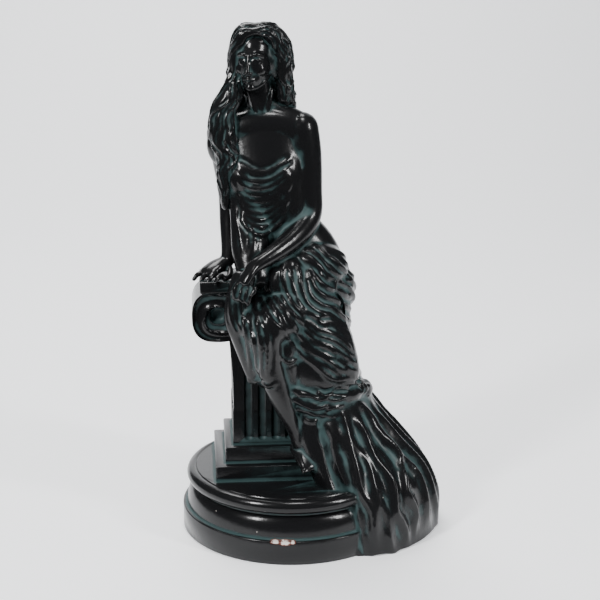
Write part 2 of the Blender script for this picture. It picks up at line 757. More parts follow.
@dataclass
class Body:
    """Trunk, arms, hands, legs and clothing of the woman.

    Args:
        rest: Height that the hands rest on.
    """

    rest: float = HAND_REST

    def trunk(self, clay: Clay) -> None:
        """Adds the trunk, the bust and the shoulders.

        Args:
            clay: The heap.
        """
        clay.roll(
            [
                (22, 6, 200, 44, 40),
                (12, 5, 238, 42, 34),
                (-10, 3, 272, 38, 28),
                (-20, 0, 303, 40, 28),
                (-27, -2, 330, 44, 28),
                (-30, 1, 358, 46, 23),
                (-31, 4, 382, 42, 18),
                (-31, 5, 394, 22, 15),
            ],
            sides=40,
        )
        clay.ball((-12, -12, 332), (20, 16, 21))
        clay.ball((-51, -12, 330), (19, 16, 21))
        clay.ball((10, 3, 364), (20, 17.5, 25))
        clay.ball((-73, 2, 364), (18, 17, 24))
        line = [(-70, 3, 371, 19, 16), (-50, 3, 379, 21, 18), (-31, 3, 384, 21, 18), (-10, 3, 382, 21, 17)]
        clay.roll([*line, (9, 3, 376, 20, 16)], (0, 0, 1))
        clay.roll([(-30, 8, 408, 10), (-13, 6, 398, 12), (8, 5, 387, 13)])
        clay.roll([(-26, -10, 384, 2.8), (-14, -11, 386, 2.8), (-3, -9, 388, 2.2)])
        clay.roll([(-36, -10, 384, 2.8), (-48, -11, 385, 2.8), (-58, -9, 386, 2.2)])

    def arms(self, clay: Clay) -> None:
        """Adds the left arm across the lap and the right arm that props her.

        Args:
            clay: The heap.
        """
        clay.roll(
            [
                (12, 4, 381, 18),
                (16, 3, 354, 17.2),
                (19, 0, 316, 15),
                (19, -5, 287, 14),
                (4, -26, 268, 13),
                (-16, -46, 256, 10.5),
                (-34, -60, 247, 8),
                (-42, -65, 241, 7.5, 6),
            ]
        )
        clay.roll(
            [
                (-74, 3, 376, 17),
                (-72, 24, 340, 14),
                (-69, 36, 306, 12.5),
                (-68, 14, 274, 11),
                (-68, -10, self.rest + 22, 8.5),
                (-73, -20, self.rest + 11, 8, 6),
            ]
        )

    def hands(self, clay: Clay) -> None:
        """Adds both hands, their fingers over the edge of the slab.

        Args:
            clay: The heap.
        """
        rest = self.rest
        back = [(-70, -15, rest + 15, 9, 7), (-81, -22, rest + 11, 12, 7.5), (-90, -28, rest + 7, 12, 6)]
        clay.roll(back, (0.6, -0.8, 0))
        for i in range(4):
            root = np.array((-94 + 6.6 * i, -25 - 5.2 * i, rest + 5.5))
            out = np.array((-11.0 + 1.5 * i, -7.0 - 1.0 * i, 0.0))
            joints = (((0, 0, 0), 3.2), (out * 0.6 + (0, 0, -1), 3.0), (out + (0, 0, -6), 2.6))
            clay.roll([(*(root + step), girth) for step, girth in joints], sides=12)
        clay.roll([(-66, -24, rest + 9, 4), (-66, -34, rest + 4, 3.4), (-71, -42, rest + 2, 2.8)], sides=12)
        clay.roll(
            [(-38, -62, 245, 8, 6), (-45, -68, 237, 9.5, 5.5), (-50, -71, 230, 9.5, 5)], (0.7, -0.5, 0.4),
        )
        for i in range(4):
            root = np.array((-54 + 5.4 * i, -68 - 2.2 * i, 229.0 - 2.0 * i))
            joints = (((0, 0, 0), 3.2), ((-5, -4, -7), 3.0), ((-7, -3, -16), 2.5))
            clay.roll([(*(root + step), girth) for step, girth in joints], sides=12)

    def legs(self, clay: Clay) -> None:
        """Adds the thighs, the knees' cloth, and the left shin and foot.

        Args:
            clay: The heap.
        """
        clay.roll([(36, 6, 203, 36), (4, -34, 192, 32), (-24, -64, 178, 24)])
        clay.roll([(8, 10, 201, 36), (-20, -30, 190, 28), (-42, -60, 180, 20)])
        clay.roll(
            [(-28, -70, 170, 19), (-21, -66, 130, 15), (-8, -62, 90, 11.5), (4, -58, 58, 8), (9, -56, 42, 8)]
        )
        clay.roll([(6, -50, 36, 8), (11, -58, 32, 9.5, 8), (16, -69, 26, 9, 6), (19, -75, 22, 8.5, 4.5)])
        for i in range(5):
            clay.roll(
                [
                    (12 + 3.6 * i, -76 + 1.6 * i, 21.5, 2.2),
                    (13 + 3.8 * i, -82 + 1.8 * i, 19.5, 2.0 - 0.1 * i),
                ],
                sides=10,
            )
        clay.roll(
            [
                (-40, -60, 180, 22, 18), (-34, -56, 150, 22, 15), (-26, -52, 124, 19, 12),
                (-22, -50, 116, 16, 10),
            ]
        )

    def cloth(self, clay: Clay) -> None:
        """Adds the bell of the skirt and train, its rolled hem, and the cloth by the right arm.

        Args:
            clay: The heap.
        """
        clay.bell(
            [
                (-70, 8, 171, -104, 104, 1.6),
                (-35, 8, 168, -103, 102, 1.6),
                (0, 6, 154, -96, 98, 1.7),
                (37, 2, 124, -80, 86, 1.9),
                (68, -4, 98, -66, 76, 2.1),
                (96, -8, 82, -60, 68, 2.2),
                (130, -12, 66, -56, 62, 2.3),
                (177, -14, 66, -48, 58, 2.3),
                (217, -14, 63, -40, 52, 2.3),
                (245, -6, 46, -30, 40, 2.2),
            ]
        )
        clay.ball((-8, -28, 222), (36, 30, 30))
        clay.ball((20, -12, 232), (42, 32, 30))
        clay.roll(
            [
                (6, -34, 214, 36, 26), (16, -36, 180, 42, 30), (24, -38, 145, 46, 29),
                (30, -38, 116, 46, 27), (32, -34, 104, 42, 18),
            ]
        )
        clay.roll([(-16, -50, 186, 20), (-10, -53, 150, 20), (-2, -53, 120, 14), (6, -50, 102, 12)])
        clay.roll(
            [(20, -50, 92, 12), (22, -56, 49, 14), (40, -68, 4, 14), (59, -84, -36, 13), (76, -90, -76, 13)]
        )
        for keys in (
            ((-2, -62, 110, 4), (18, -63, 101, 6), (42, -59, 97, 7), (64, -45, 95, 8), (79, -20, 93, 9)),
            ((2, -64, 98, 4), (26, -64, 89, 6), (50, -56, 87, 6), (70, -36, 86, 7), (83, -8, 84, 7)),
            ((8, -60, 86, 5), (32, -60, 79, 5), (54, -50, 77, 6), (72, -28, 76, 6), (84, -2, 78, 6)),
        ):
            clay.roll(keys)
        clay.ball((79, -14, 92), (12, 15, 12))
        clay.roll([(66, -36, 100, 4), (80, -26, 98, 6), (86, -10, 90, 6), (80, -20, 80, 5)])
        clay.roll([(78, 2, 88, 9), (70, 34, 90, 9), (48, 56, 93, 8), (26, 64, 93, 7), (6, 64, 95, 6)])
        side = [
            (-50, -58, 230, 13, 9), (-57, -62, 206, 13, 9), (-58, -64, 186, 13, 9), (-52, -62, 166, 12, 9),
        ]
        clay.roll([*side, (-45, -58, 142, 11, 8), (-38, -54, 118, 10, 6)])
        clay.roll(
            [
                (-50, -12, 330, 20, 10), (-44, -16, 290, 22, 14), (-44, -30, 254, 20, 16),
                (-38, -44, 228, 18, 14),
            ]
        )

    def folds(self) -> tuple[list[Flow], list[Flow]]:
        """Lists the strokes of the cloth: deep folds, and fine creases on them.

        Returns:
            The deep flows and the fine flows.
        """
        lap_1 = [(-28, 245), (-39, 222), (-42, 202), (-39, 181), (-38, 160)]
        lap_2 = [(-12, 247), (-22, 230), (-24, 218), (-17, 205), (-7, 192), (1, 174)]
        lap_3 = [(-7, 251), (-12, 233), (-9, 216), (-2, 200), (9, 187), (18, 174)]
        skirt_1 = [
            (-2, 253), (-5, 240), (-1, 222), (6, 203), (15, 192), (28, 186), (42, 188), (59, 176),
            (72, 166),
        ]
        skirt_2 = [(5, 252), (15, 240), (15, 222), (19, 206), (31, 197), (44, 194), (58, 182), (72, 173)]
        skirt_3 = [(11, 255), (24, 245), (34, 230), (44, 224), (58, 222), (71, 216)]
        skirt_4 = [(10, 262), (22, 258), (31, 250), (37, 240), (45, 232), (58, 228), (71, 225)]
        skirt_5 = [(24, 275), (34, 270), (42, 259), (52, 253), (61, 240), (69, 231)]
        low_1 = [(-1, 207), (12, 189), (27, 179), (44, 174), (59, 160), (74, 149)]
        low_2 = [(-5, 196), (12, 171), (24, 162), (38, 155), (50, 145), (63, 138), (74, 132)]
        low_3 = [(-16, 196), (-1, 174), (18, 159), (31, 147), (46, 139), (58, 132), (74, 123)]
        low_4 = [(-27, 198), (-16, 178), (1, 156), (18, 138), (34, 122), (50, 116), (75, 116)]
        cusp = [(-15, 149), (-4, 138), (2, 139), (11, 145)]
        hem_1 = [(8, 111), (23, 108), (38, 105), (53, 108), (72, 113)]
        hem_2 = [(3, 92), (23, 90), (42, 91), (66, 99)]
        hem_3 = [(5, 74), (23, 69), (42, 72), (64, 86)]
        knot_1 = [(64, 122), (77, 118), (84, 111), (86, 103), (77, 96)]
        knot_2 = [(62, 111), (72, 108), (78, 104), (75, 98)]
        knee_outer = [(-54, 200), (-52, 167), (-48, 145), (-44, 120)]
        knee_inner = [(-27, 187), (-22, 165), (-22, 140), (-23, 118)]
        knee_hem = [(-51, 121), (-42, 113), (-34, 116), (-25, 111), (-16, 115)]
        side_outer = [(-62, 229), (-68, 209), (-67, 189), (-59, 169)]
        side_inner = [(-48, 225), (-51, 207), (-49, 189), (-44, 169)]
        edge_top = [(-62, 360), (-52, 357), (-40, 350), (-30, 348), (-21, 350), (-10, 357), (1, 365)]
        s1 = [(-61, 350), (-52, 338), (-38, 333), (-23, 335), (-7, 345), (2, 356)]
        s2 = [(-60, 332), (-50, 319), (-36, 313), (-21, 316), (-6, 328), (3, 342)]
        s3 = [(-58, 313), (-46, 298), (-33, 292), (-19, 297), (-5, 311), (3, 326)]
        s4 = [(-55, 296), (-45, 282), (-32, 274), (-18, 283), (-5, 296)]
        arm_outer = [(-61, 319), (-60, 298), (-56, 272), (-52, 253)]
        arm_inner = [(-39, 290), (-37, 272), (-40, 259), (-44, 249)]
        t1 = [(24, 90), (22, 49), (38, 2), (57, -37), (74, -76)]
        t2 = [(34, 92), (52, 49), (69, 7), (82, -34), (96, -82)]
        t3 = [(50, 92), (78, 49), (102, 2), (114, -40), (124, -80)]
        t4 = [(68, 92), (103, 60), (131, 13), (141, -22), (147, -70)]
        swag_high = [(-34, 232), (-10, 206), (25, 186), (56, 184)]
        swag_low = [(-42, 130), (-14, 106), (26, 100), (62, 106)]
        front = (
            (lap_1, lap_2, 3, 3.0, 2.8, 0.6),
            (lap_2, lap_3, 3, 3.0, 3.0, 0.8),
            (lap_3, skirt_1, 1, 3.0, 4.0, 0.6),
            (skirt_1, skirt_2, 2, 3.2, 5.0, 1.0),
            (skirt_2, skirt_3, 3, 3.4, 5.2, 1.2),
            (skirt_3, skirt_4, 2, 3.0, 4.8, 1.0),
            (skirt_4, skirt_5, 2, 3.0, 4.8, 1.0),
            (low_1, low_2, 3, 3.2, 4.8, 1.4),
            (low_2, low_3, 2, 3.2, 4.8, 1.4),
            (low_3, low_4, 3, 3.2, 4.6, 1.4),
            (cusp, cusp, 1, 2.6, 3.4, 0.0, 0.5, 0.0),
            (hem_1, hem_2, 3, 3.0, 4.2, 2.2, 0.6, 0.2, 0.0, None, 24.0),
            (hem_2, hem_3, 3, 3.0, 4.2, 2.2, 0.6, 0.2, 0.0, None, 24.0),
            (knot_1, knot_2, 2, 2.8, 4.0, 0.4, 0.7, 0.0),
            (knee_outer, knee_inner, 4, 3.2, 4.0, 0.9),
            (knee_hem, knee_hem, 1, 2.8, 4.0, 0.0, 0.6, 0.0),
            (side_outer, side_inner, 3, 2.8, 3.6, 0.6),
            (edge_top, edge_top, 1, 2.4, 3.4, 0.0, 0.8, 0.0),
            (edge_top, s1, 2, 3.0, 3.6, 0.3),
            (s1, s2, 3, 3.0, 3.8, 0.3),
            (s2, s3, 3, 3.0, 3.8, 0.3),
            (s3, s4, 2, 3.0, 3.6, 0.3),
            (arm_outer, arm_inner, 4, 2.6, 2.4, 0.8),
        )
        deep = [Flow(Side.FRONT, (first, second), *sizes, dip=GUIDE_DIP) for first, second, *sizes in front]
        deep += [
            Flow(Side.FRONT, (t1, t2), 2, 7.0, 8.0, 2.0, 0.6, even=True),
            Flow(Side.FRONT, (t2, t3), 2, 7.5, 9.0, 2.5, 0.6, even=True),
            Flow(Side.FRONT, (t3, t4), 2, 7.5, 9.0, 2.5, 0.6, even=True),
            Flow(Side.RIGHT, (swag_high, swag_low), 9, 4.4, 4.2, 2.2),
            Flow(
                Side.RIGHT,
                ([(-20, 262), (6, 236), (30, 214), (54, 210)], [(-34, 240), (-6, 208), (28, 190), (56, 188)]),
                3, 3.8, 3.0, 1.6,
            ),
            Flow(
                Side.BACK,
                (
                    [(-60, 236), (-40, 222), (-10, 214), (12, 218)],
                    [(-74, 116), (-44, 104), (-10, 100), (16, 106)],
                ),
                8, 4.4, 3.4, 2.0,
            ),
            Flow(
                Side.RIGHT, ([(-44, 84), (-54, 20), (-60, -70)], [(60, 84), (80, 20), (92, -70)]), 6, 7.5,
                8.0, 2.5, 0.6, even=True,
            ),
            Flow(
                Side.BACK, ([(-82, 80), (-122, 20), (-146, -70)], [(0, 80), (-4, 20), (-8, -70)]), 6, 7.5,
                7.0, 2.5, 0.6, even=True,
            ),
        ]
        for i in range(3):
            x, z = 5.4 * i, -2.0 * i
            gap = [(x - 51.3, z + 229), (x - 55.5, z + 221), (x - 58.0, z + 212)]
            deep.append(Flow(Side.FRONT, (gap, gap), 1, 1.3, -2.6, 0.0, 0.0, 0.0))
        fine = []
        for flow in deep:
            if flow.count > 1 and not flow.even:
                fine.append(
                    Flow(flow.side, flow.guides, flow.count * 2, 1.4, 0.5, 1.2, 0.5, 0.4, dip=flow.dip)
                )
        return deep, fine

    def build(self) -> bpy.types.Object:
        """Models the body.

        Returns:
            The object, in figure units.
        """
        clay = Clay(1.35, 5)
        self.trunk(clay)
        self.arms(clay)
        self.hands(clay)
        self.legs(clay)
        self.cloth(clay)
        thing = clay.melt("body")
        deep, fine = self.folds()
        carver = Carver(thing, 7)
        carver.carve([flow for flow in deep if flow.even], TRAIN_LIFT, 3)
        carver.carve([flow for flow in deep if not flow.even], FOLD_LIFT, 2)
        carver.carve(fine, FINE_LIFT, 1)
        return thing


@dataclass
class Base:
    """The turned base: drum, ovolo, collar and half-round rim.

    Args:
        sides: Flats round it.
    """

    sides: int = 192

    def profile(self) -> list[tuple[float, float]]:
        """Lists the outline from the underside to the middle of the top.

        Returns:
            Points of (radius, height).
        """
        edge = 0.0010
        foot = BASE_RADIUS - OVOLO_SETBACK
        neck = foot - OVOLO_DEPTH
        rim_z = BASE_HEIGHT - RIM_HEIGHT / 2
        rim_r = BASE_RADIUS - RIM_SETBACK - RIM_HEIGHT / 2
        points = [(BASE_RADIUS - edge, 0.0), (BASE_RADIUS, edge), (BASE_RADIUS, DRUM_HEIGHT - edge)]
        points += [(BASE_RADIUS - 0.3 * edge, DRUM_HEIGHT - 0.3 * edge), (BASE_RADIUS - edge, DRUM_HEIGHT)]
        points += [(foot + 0.0012, DRUM_HEIGHT), (foot, DRUM_HEIGHT + 0.0008)]
        for i in range(1, 13):
            a = math.radians(90 * i / 12)
            points.append((neck + OVOLO_DEPTH * math.cos(a), DRUM_HEIGHT + OVOLO_HEIGHT * math.sin(a)))
        collar_z = BASE_HEIGHT - RIM_HEIGHT
        points += [(neck + 0.0012, collar_z - 0.0028), (neck + 0.0014, collar_z - 0.0006), (neck, collar_z)]
        for i in range(15):
            a = math.radians(-84 + 174 * i / 14)
            points.append((rim_r + RIM_HEIGHT / 2 * math.cos(a), rim_z + RIM_HEIGHT / 2 * math.sin(a)))
        points += [(rim_r - 0.0010, BASE_HEIGHT - 0.0002), (rim_r - 0.0016, BASE_HEIGHT - 0.0008)]
        points += [(rim_r - 0.0024, BASE_HEIGHT - 0.0008), (rim_r - 0.0030, BASE_HEIGHT)]
        return points

    def build(self) -> bpy.types.Object:
        """Draws the outline up ring by ring.

        Returns:
            The base.
        """
        bpy.ops.object.select_all(action="DESELECT")
        outline = self.profile()
        radius, level = outline[0]
        bpy.ops.mesh.primitive_circle_add(
            vertices=self.sides, radius=radius, fill_type="NGON", location=(0, 0, level),
        )
        thing = bpy.context.active_object
        thing.name = "base"
        bpy.ops.object.transform_apply(location=True, rotation=False, scale=False)
        bpy.ops.object.mode_set(mode="EDIT")
        bpy.ops.mesh.select_all(action="SELECT")
        for new_radius, new_level in outline[1:]:
            step = (0, 0, new_level - level)
            bpy.ops.mesh.extrude_region_move(TRANSFORM_OT_translate={"value": step})
            share = new_radius / radius
            bpy.ops.transform.resize(value=(share, share, 1), center_override=(0, 0, new_level))
            radius, level = new_radius, new_level
        bpy.ops.mesh.select_all(action="SELECT")
        bpy.ops.mesh.normals_make_consistent(inside=False)
        bpy.ops.object.mode_set(mode="OBJECT")
        return thing


@dataclass
class Pedestal:
    """Two steps, a fluted shaft, two scrolls and a slab.

    Args:
        flutes: Flutes on each face.
        flute_radius: Radius of a flute.
        flute_spacing: Distance between two flutes.
        soft_edge: Rounding of the edges.
    """

    flutes: int = 4
    flute_radius: float = 0.0058
    flute_spacing: float = 0.0150
    soft_edge: float = 0.0016

    def place(self) -> Matrix:
        """Says where the pedestal stands and how it is turned."""
        return Matrix.Translation((PEDESTAL_X, PEDESTAL_Y, 0)) @ Matrix.Rotation(PEDESTAL_TURN, 4, "Z")

    def block(
        self, name: str, width: float, depth: float, low: float, high: float, edge: float, middle: float = 0.0
    ) -> bpy.types.Object:
        """Models a block with rounded edges.

        Args:
            name: Its name.
            width: Size along X.
            depth: Size along Y.
            low: Height of its underside.
            high: Height of its top.
            edge: Rounding of its edges.
            middle: Its middle along Y.

        Returns:
            The block.
        """
        bpy.ops.object.select_all(action="DESELECT")
        spot = (0, middle, (low + high) / 2)
        bpy.ops.mesh.primitive_cube_add(size=1, location=spot, scale=(width, depth, high - low))
        thing = bpy.context.active_object
        thing.name = name
        bpy.ops.object.transform_apply(location=True, rotation=False, scale=True)
        bpy.ops.object.mode_set(mode="EDIT")
        bpy.ops.mesh.select_all(action="SELECT")
        bpy.ops.mesh.bevel(offset=edge, segments=3, affect="EDGES")
        bpy.ops.object.mode_set(mode="OBJECT")
        return thing

    def shaft(self) -> bpy.types.Object:
        """Models the shaft, which flares sideways under the scrolls, and cuts its flutes.

        Returns:
            The shaft.
        """
        half = SHAFT_WIDTH / 2
        thing = self.block(
            "shaft", SHAFT_WIDTH, SHAFT_WIDTH, SHAFT_FOOT_Z - 0.002, SHAFT_FOOT_Z + 0.3 * SHAFT_HEIGHT,
            0.0008,
        )
        select_only(thing)
        bpy.ops.object.mode_set(mode="EDIT")
        shape = bmesh.from_edit_mesh(thing.data)
        for face in shape.faces:
            face.select = face.normal.z > 0.99
        bmesh.update_edit_mesh(thing.data)
        steps = 14
        width = half
        rise = (SCROLL_Z - SHAFT_FOOT_Z - 0.3 * SHAFT_HEIGHT) / steps
        for i in range(1, steps + 1):
            target = half + SHAFT_FLARE * (i / steps) ** 2.6
            bpy.ops.mesh.extrude_region_move(TRANSFORM_OT_translate={"value": (0, 0, rise)})
            bpy.ops.transform.resize(value=(target / width, 1, 1), center_override=(0, 0, 0))
            width = target
        bpy.ops.object.mode_set(mode="OBJECT")
        apply_boolean(thing, self.flute_cutters(), "DIFFERENCE")
        return thing

    def flute_cutters(self) -> bpy.types.Object:
        """Models one round-ended rod and copies it to every flute.

        Returns:
            All rods as one object.
        """
        length = SHAFT_HEIGHT - 0.020
        rods = []
        for quarter in (0, 2, 3):
            for i in range(self.flutes):
                bpy.ops.object.select_all(action="DESELECT")
                bpy.ops.mesh.primitive_uv_sphere_add(segments=32, ring_count=16, radius=self.flute_radius)
                rod = bpy.context.active_object
                for vertex in rod.data.vertices:
                    if vertex.co.z > 1e-6:
                        vertex.co.z += length / 2
                    elif vertex.co.z < -1e-6:
                        vertex.co.z -= length / 2
                x = (i - (self.flutes - 1) / 2) * self.flute_spacing
                y = -SHAFT_WIDTH / 2 - 0.35 * self.flute_radius
                spot = Matrix.Translation((x, y, SHAFT_FOOT_Z + SHAFT_HEIGHT / 2))
                rod.data.transform(Matrix.Rotation(quarter * math.pi / 2, 4, "Z") @ spot)
                rods.append(rod)
        bpy.ops.object.select_all(action="DESELECT")
        for rod in rods:
            rod.select_set(True)
        bpy.context.view_layer.objects.active = rods[0]
        bpy.ops.object.join()
        return bpy.context.active_object

    def end_relief(self, share: float, angle: float) -> float:
        """Works out the depth of a scroll's end at one spot: a spiral channel that runs into a hollow eye.

        Args:
            share: Distance from the middle, as a share of the radius.
            angle: Angle round the middle, in radians.

        Returns:
            The depth, in metres.
        """
        eye = 0.35
        if share < eye:
            return 0.0100 * math.cos(0.5 * math.pi * (share / eye) ** 3) + 0.0015
        turns = 1.35
        phase = (share - eye) / (1 - eye) * turns + angle / (2 * math.pi)
        wave = phase - math.floor(phase)
        rim = min(1.0, (1 - share) / 0.10)
        return 0.0042 * rim * math.sin(math.pi * wave) ** 0.8

    def scroll(self, side: int) -> bpy.types.Object:
        """Models one scroll as a rounded-square drum with relief on both ends.

        Args:
            side: -1 for the left scroll, 1 for the right one.

        Returns:
            The scroll.
        """
        count, rings = 96, 30
        shape = bmesh.new()
        half = SCROLL_DEPTH / 2
        cx = side * SCROLL_SPACING / 2

        def ring(share: float, end: int, flat: bool) -> list[bmesh.types.BMVert]:
            verts = []
            for i in range(count):
                a = 2 * math.pi * i / count
                c, s = math.cos(a), math.sin(a)
                square = 2.6 if share > 0.5 else 2 + 1.2 * share
                reach = SCROLL_RADIUS * share / (abs(c) ** square + abs(s) ** square) ** (1 / square)
                depth = 0.0 if flat else self.end_relief(share, side * a + math.radians(70))
                bow = 0.0025 * (1 - abs(end)) if abs(end) < 1 else 0.0
                spot = (cx + reach * c * (1 - bow), SCROLL_Y + end * (half - depth), SCROLL_Z + reach * s)
                verts.append(shape.verts.new(spot))
            return verts

        front = [ring(k / rings, -1, False) for k in range(1, rings)]
        sides_front = [ring(1.0, -1, True)]
        back = [ring(k / rings, 1, False) for k in range(rings - 1, 0, -1)]
        sides_back = [ring(1.0, 1, True)]
        loops = front + sides_front + sides_back + back
        join_loops(shape, loops)
        shape.faces.new(loops[0])
        shape.faces.new(loops[-1][::-1])
        bmesh.ops.recalc_face_normals(shape, faces=shape.faces)
        return add_object("scroll", shape)

    def build(self) -> bpy.types.Object:
        """Models the pedestal.

        Returns:
            The pedestal as one object, in place.
        """
        lower_top = BASE_HEIGHT + LOWER_STEP_HEIGHT
        upper = LOWER_STEP_WIDTH - 2 * STEP_LEDGE
        low = SLAB_TOP_Z - SLAB_HEIGHT
        thing = self.block(
            "pedestal", LOWER_STEP_WIDTH, LOWER_STEP_WIDTH, BASE_HEIGHT - 0.003, lower_top, self.soft_edge,
        )
        parts = [
            self.block("upper_step", upper, upper, lower_top - 0.003, SHAFT_FOOT_Z, self.soft_edge),
            self.shaft(),
            self.scroll(-1),
            self.scroll(1),
            self.block("neck", SHAFT_WIDTH, SCROLL_DEPTH - 0.008, SCROLL_Z - 0.004, low, 0.001, SCROLL_Y),
            self.block("slab", SLAB_WIDTH, SCROLL_DEPTH, low - 0.0012, SLAB_TOP_Z, 0.0022, SCROLL_Y),
        ]
        for part in parts:
            apply_boolean(thing, part, "UNION")
        thing.data.transform(self.place())
        return thing


class Wire:
    """Adds small nodes to a node tree and wires them up."""

    def __init__(self, tree: bpy.types.NodeTree) -> None:
        """Keeps the tree.

        Args:
            tree: The node tree.
        """
        self.tree = tree

    def feed(
        self, value: "bpy.types.NodeSocket | float | tuple[float, ...]", socket: bpy.types.NodeSocket,
    ) -> None:
        """Links a socket, or sets a constant.

        Args:
            value: A socket or a constant.
            socket: The socket that gets it.
        """
        if isinstance(value, bpy.types.NodeSocket):
            self.tree.links.new(value, socket)
        else:
            socket.default_value = value

    def math(self, operation: str, *values: "bpy.types.NodeSocket | float") -> bpy.types.NodeSocket:
        """Adds a sum.

        Args:
            operation: Its kind.
            values: Its inputs.

        Returns:
            The result.
        """
        node = self.tree.nodes.new("ShaderNodeMath")
        node.operation = operation
        for value, socket in zip(values, node.inputs):
            self.feed(value, socket)
        return node.outputs[0]

    def ramp(
        self, value: bpy.types.NodeSocket, low: float, high: float, first: float, last: float
    ) -> bpy.types.NodeSocket:
        """Adds a clamped, softly eased change from one value to another.

        Args:
            value: The driving value.
            low: Where the change starts.
            high: Where it ends.
            first: Result up to there.
            last: Result from there.

        Returns:
            The result.
        """
        node = self.tree.nodes.new("ShaderNodeMapRange")
        node.interpolation_type = "SMOOTHSTEP"
        names = ("From Min", "From Max", "To Min", "To Max", "Value")
        for name, item in zip(names, (low, high, first, last, value)):
            self.feed(item, node.inputs[name])
        return node.outputs["Result"]

    def use(self, group: bpy.types.NodeTree, **values: "bpy.types.NodeSocket | float") -> bpy.types.Node:
        """Adds a group node and feeds its sockets.

        Args:
            group: The group.
            values: Its inputs, by socket name with underscores for spaces.

        Returns:
            The node.
        """
        node = self.tree.nodes.new("ShaderNodeGroup")
        node.node_tree = group
        for name, value in values.items():
            self.feed(value, node.inputs[name.replace("_", " ")])
        return node

    def noise(self, place: bpy.types.NodeSocket, scale: float, detail: float) -> bpy.types.NodeSocket:
        """Adds a cloudy noise.

        Args:
            place: Coordinates.
            scale: Its scale.
            detail: Its detail.

        Returns:
            The noise.
        """
        node = self.tree.nodes.new("ShaderNodeTexNoise")
        node.inputs["Scale"].default_value = scale
        node.inputs["Detail"].default_value = detail
        self.tree.links.new(place, node.inputs["Vector"])
        return node.outputs["Fac"]

    def split(self, place: bpy.types.NodeSocket) -> tuple[bpy.types.NodeSocket, ...]:
        """Splits a vector.

        Args:
            place: The vector.

        Returns:
            Its three parts.
        """
        node = self.tree.nodes.new("ShaderNodeSeparateXYZ")
        self.tree.links.new(place, node.inputs[0])
        return tuple(node.outputs)

    def blend(
        self,
        first: "bpy.types.NodeSocket | tuple[float, ...]",
        second: "bpy.types.NodeSocket | tuple[float, ...]",
        share: bpy.types.NodeSocket,
        swap: bool = False,
    ) -> bpy.types.NodeSocket:
        """Blends two colours.

        Args:
            first: Colour at no share.
            second: Colour at full share.
            share: The share.
            swap: Changes the two over.

        Returns:
            The colour.
        """
        node = self.tree.nodes.new("ShaderNodeMix")
        node.data_type = "RGBA"
        self.feed(share, node.inputs["Factor"])
        inputs = [socket for socket in node.inputs if socket.type == "RGBA"]
        for colour, socket in zip((second, first) if swap else (first, second), inputs):
            self.feed(colour, socket)
        return next(socket for socket in node.outputs if socket.type == "RGBA")


